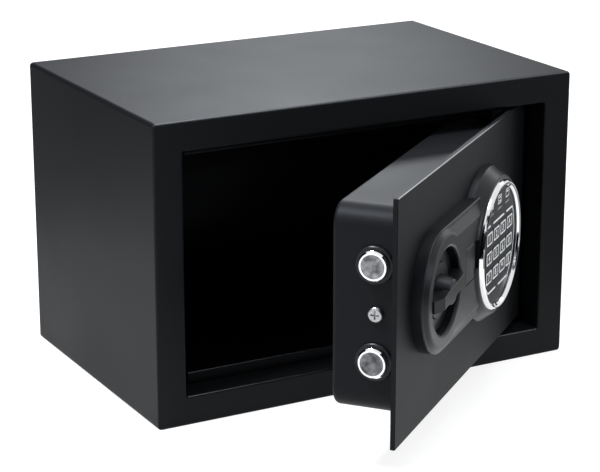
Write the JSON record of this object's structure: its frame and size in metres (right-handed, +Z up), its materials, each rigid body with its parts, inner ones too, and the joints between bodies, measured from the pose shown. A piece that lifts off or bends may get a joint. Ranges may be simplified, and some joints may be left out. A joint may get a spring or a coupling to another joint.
{
  "type": "gun safe",
  "caption": "Small black steel handgun safe, door standing open, with twin round bolts, a turning knob, a round keypad with number keys and a hidden key lock under a cover.",
  "frame": {"origin": "middle of the cabinet's underside, on the floor", "axes": "+X to the hinge side, +Y into the cabinet from the door side, +Z up"},
  "size_m": [0.31, 0.3463, 0.2],
  "materials": {
    "black_powder_coat": "satin powder coat, fine texture",
    "zinc_plated_steel": "satin",
    "chromed_steel": "polished",
    "chromed_plastic": "polished",
    "black_nylon": "satin",
    "black_abs": "satin, fine grain",
    "keypad_polycarbonate": "satin",
    "window_polycarbonate": "smooth",
    "key_silicone": "matt",
    "circuit_board": "lacquered",
    "brass": "turned",
    "copper_winding_tape": "taped",
    "battery_jacket": "printed film",
    "red_abs": "smooth"
  },
  "bodies": {
    "cabinet": {"body_shell": "black_powder_coat", "back_panel": "black_powder_coat", "front_frame": "black_powder_coat", "hinge_post_lower": "zinc_plated_steel", "hinge_post_upper": "zinc_plated_steel", "thrust_washer": "black_nylon"},
    "door": {"door_plate": "black_powder_coat", "door_box": "black_powder_coat", "hinge_bush_lower": "black_nylon", "hinge_bush_upper": "black_nylon", "bolt_bush_lower": "black_nylon", "bolt_bush_upper": "black_nylon", "guide_bracket": "zinc_plated_steel", "guide_stud": "zinc_plated_steel", "side_screw": "chromed_steel", "spindle_bush": "black_nylon", "escutcheon": "black_abs", "panel_screws": "zinc_plated_steel", "keypad_ring": "chromed_plastic", "keypad_face": "keypad_polycarbonate", "indicator_windows": "window_polycarbonate", "keypad_board": "circuit_board", "key_domes": "chromed_steel", "lock_cylinder": "brass", "lock_nut": "zinc_plated_steel", "solenoid_frame": "zinc_plated_steel", "solenoid_coil": "copper_winding_tape", "battery_tray": "black_abs", "battery_cells": "battery_jacket", "reset_housing": "black_abs"},
    "knob_set": {"knob": "black_abs", "spindle": "zinc_plated_steel", "drive_cam": "zinc_plated_steel"},
    "bolt_set": {"bolt_lower": "chromed_steel", "bolt_upper": "chromed_steel", "bolt_carrier": "zinc_plated_steel", "bolt_cross_pins": "zinc_plated_steel"},
    "blocking_plunger": {"solenoid_plunger": "chromed_steel"},
    "lock_rotor": {"lock_plug": "brass", "lock_lever": "zinc_plated_steel"},
    "cover": {"key_cover": "black_abs"},
    "battery_door": {"battery_lid": "black_abs"},
    "reset": {"reset_button": "red_abs"},
    "button_1": {"key_1": "key_silicone"},
    "button_2": {"key_2": "key_silicone"},
    "button_3": {"key_3": "key_silicone"},
    "button_4": {"key_4": "key_silicone"},
    "button_5": {"key_5": "key_silicone"},
    "button_6": {"key_6": "key_silicone"},
    "button_7": {"key_7": "key_silicone"},
    "button_8": {"key_8": "key_silicone"},
    "button_9": {"key_9": "key_silicone"},
    "button_0": {"key_0": "key_silicone"},
    "button_a": {"key_a": "key_silicone"},
    "button_b": {"key_b": "key_silicone"}
  },
  "joints": [
    {"name": "door_swing", "type": "hinge", "parent": "cabinet", "child": "door", "pos_m": [0.105, -0.086, 0.105], "axis": [0, 0, 1], "range_deg": [-39.45, 58]},
    {"name": "knob_turn", "type": "hinge", "parent": "door", "child": "knob_set", "pos_m": [-0.02071, -0.20628, 0.1048], "axis": [0.6354, -0.7722, 0], "range_deg": [0, 90]},
    {"name": "bolt_slide", "type": "slide", "parent": "door", "child": "bolt_set", "axis": [-0.7722, -0.6354, 0], "range_m": [0, 0.015]},
    {"name": "plunger_drop", "type": "slide", "parent": "door", "child": "blocking_plunger", "axis": [0, 0, 1], "range_m": [-0.0045, 0]},
    {"name": "key_turn", "type": "hinge", "parent": "door", "child": "lock_rotor", "pos_m": [0.01558, -0.17642, 0.1048], "axis": [-0.6354, 0.7722, 0], "range_deg": [0, 90]},
    {"name": "cover_pull", "type": "slide", "parent": "door", "child": "cover", "axis": [0.6354, -0.7722, 0], "range_m": [0, 0.02]},
    {"name": "battery_lid_pull", "type": "slide", "parent": "door", "child": "battery_door", "axis": [-0.6354, 0.7722, 0], "range_m": [0, 0.025]},
    {"name": "reset_press", "type": "slide", "parent": "door", "child": "reset", "axis": [0.6354, -0.7722, 0], "range_m": [0, 0.0015], "stiffness_N_per_m": 400, "springref_m": -0.0005},
    {"name": "press_1", "type": "slide", "parent": "door", "child": "button_1", "axis": [-0.6354, 0.7722, 0], "range_m": [0, 0.0005], "stiffness_N_per_m": 800, "springref_m": -0.0003},
    {"name": "press_2", "type": "slide", "parent": "door", "child": "button_2", "axis": [-0.6354, 0.7722, 0], "range_m": [0, 0.0005], "stiffness_N_per_m": 800, "springref_m": -0.0003},
    {"name": "press_3", "type": "slide", "parent": "door", "child": "button_3", "axis": [-0.6354, 0.7722, 0], "range_m": [0, 0.0005], "stiffness_N_per_m": 800, "springref_m": -0.0003},
    {"name": "press_4", "type": "slide", "parent": "door", "child": "button_4", "axis": [-0.6354, 0.7722, 0], "range_m": [0, 0.0005], "stiffness_N_per_m": 800, "springref_m": -0.0003},
    {"name": "press_5", "type": "slide", "parent": "door", "child": "button_5", "axis": [-0.6354, 0.7722, 0], "range_m": [0, 0.0005], "stiffness_N_per_m": 800, "springref_m": -0.0003},
    {"name": "press_6", "type": "slide", "parent": "door", "child": "button_6", "axis": [-0.6354, 0.7722, 0], "range_m": [0, 0.0005], "stiffness_N_per_m": 800, "springref_m": -0.0003},
    {"name": "press_7", "type": "slide", "parent": "door", "child": "button_7", "axis": [-0.6354, 0.7722, 0], "range_m": [0, 0.0005], "stiffness_N_per_m": 800, "springref_m": -0.0003},
    {"name": "press_8", "type": "slide", "parent": "door", "child": "button_8", "axis": [-0.6354, 0.7722, 0], "range_m": [0, 0.0005], "stiffness_N_per_m": 800, "springref_m": -0.0003},
    {"name": "press_9", "type": "slide", "parent": "door", "child": "button_9", "axis": [-0.6354, 0.7722, 0], "range_m": [0, 0.0005], "stiffness_N_per_m": 800, "springref_m": -0.0003},
    {"name": "press_0", "type": "slide", "parent": "door", "child": "button_0", "axis": [-0.6354, 0.7722, 0], "range_m": [0, 0.0005], "stiffness_N_per_m": 800, "springref_m": -0.0003},
    {"name": "press_a", "type": "slide", "parent": "door", "child": "button_a", "axis": [-0.6354, 0.7722, 0], "range_m": [0, 0.0005], "stiffness_N_per_m": 800, "springref_m": -0.0003},
    {"name": "press_b", "type": "slide", "parent": "door", "child": "button_b", "axis": [-0.6354, 0.7722, 0], "range_m": [0, 0.0005], "stiffness_N_per_m": 800, "springref_m": -0.0003}
  ],
  "couplings": [
    {"joint": "knob_turn", "follows": "bolt_slide", "rad_per_m": 104.72}
  ]
}
